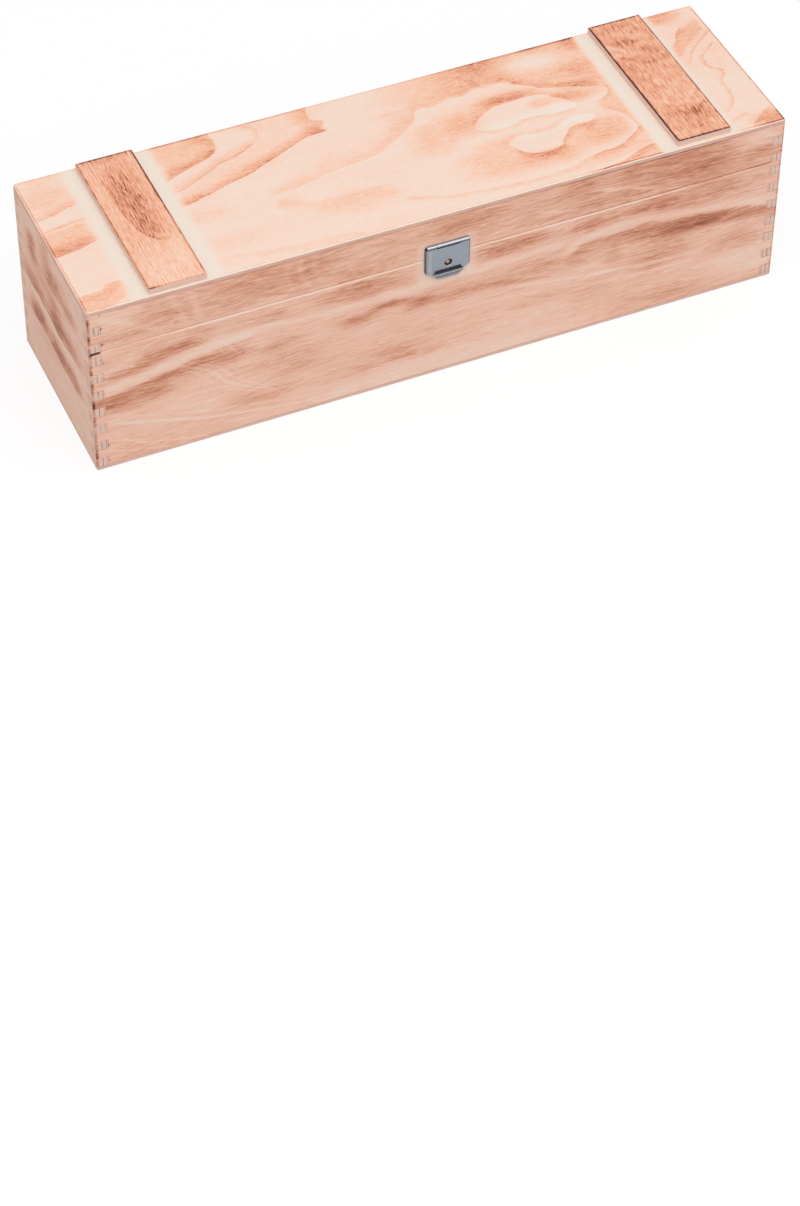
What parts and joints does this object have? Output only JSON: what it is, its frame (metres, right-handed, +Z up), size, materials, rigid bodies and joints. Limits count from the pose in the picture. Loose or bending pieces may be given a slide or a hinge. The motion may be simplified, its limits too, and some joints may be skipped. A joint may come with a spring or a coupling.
{
  "type": "wooden wine box",
  "caption": "Long flamed-wood box for one bottle: comb-jointed frame, sawn-off hinged lid with battens across it, butt hinges behind and a sheet-metal flap catch in front.",
  "frame": {"origin": "middle of the box's underside", "axes": "+X along the box to the right as seen from the latch, +Y from the latch to the hinges, +Z up"},
  "size_m": [0.35, 0.1053, 0.0992],
  "materials": {
    "flamed_boards": "torch-flamed softwood, brushed, unvarnished",
    "flamed_plywood": "torch-flamed rotary-cut plywood, sanded, unvarnished",
    "flamed_battens": "torch-flamed batten with charred edges",
    "zinc_plated_steel": "pressed sheet, zinc-plated, satin",
    "brass_nail": "brass-plated dome head"
  },
  "bodies": {
    "base": {"base_front_board": "flamed_boards", "base_back_board": "flamed_boards", "base_left_board": "flamed_boards", "base_right_board": "flamed_boards", "bottom_panel": "flamed_plywood", "hinge_left_base_leaf": "zinc_plated_steel", "hinge_right_base_leaf": "zinc_plated_steel", "hinge_left_pin": "zinc_plated_steel", "hinge_right_pin": "zinc_plated_steel", "hinge_base_nails": "zinc_plated_steel", "latch_catch_plate": "zinc_plated_steel", "latch_catch_nails": "zinc_plated_steel", "latch_dome_nail": "brass_nail"},
    "lid": {"lid_front_rail": "flamed_boards", "lid_back_rail": "flamed_boards", "lid_left_rail": "flamed_boards", "lid_right_rail": "flamed_boards", "lid_top_panel": "flamed_plywood", "batten_left": "flamed_battens", "batten_right": "flamed_battens", "hinge_left_lid_leaf": "zinc_plated_steel", "hinge_right_lid_leaf": "zinc_plated_steel", "hinge_lid_nails": "zinc_plated_steel", "latch_lid_plate": "zinc_plated_steel", "latch_lid_nails": "zinc_plated_steel", "latch_pin": "zinc_plated_steel"},
    "latch_flap": {"latch_flap": "zinc_plated_steel"}
  },
  "joints": [
    {"name": "lid_hinge", "type": "hinge", "parent": "base", "child": "lid", "pos_m": [0, 0.05095, 0.0716], "axis": [-1, 0, 0], "range_deg": [0, 180]},
    {"name": "latch_flap_hinge", "type": "hinge", "parent": "lid", "child": "latch_flap", "pos_m": [0, -0.05035, 0.07915], "axis": [-1, 0, 0], "range_deg": [0, 172]}
  ]
}
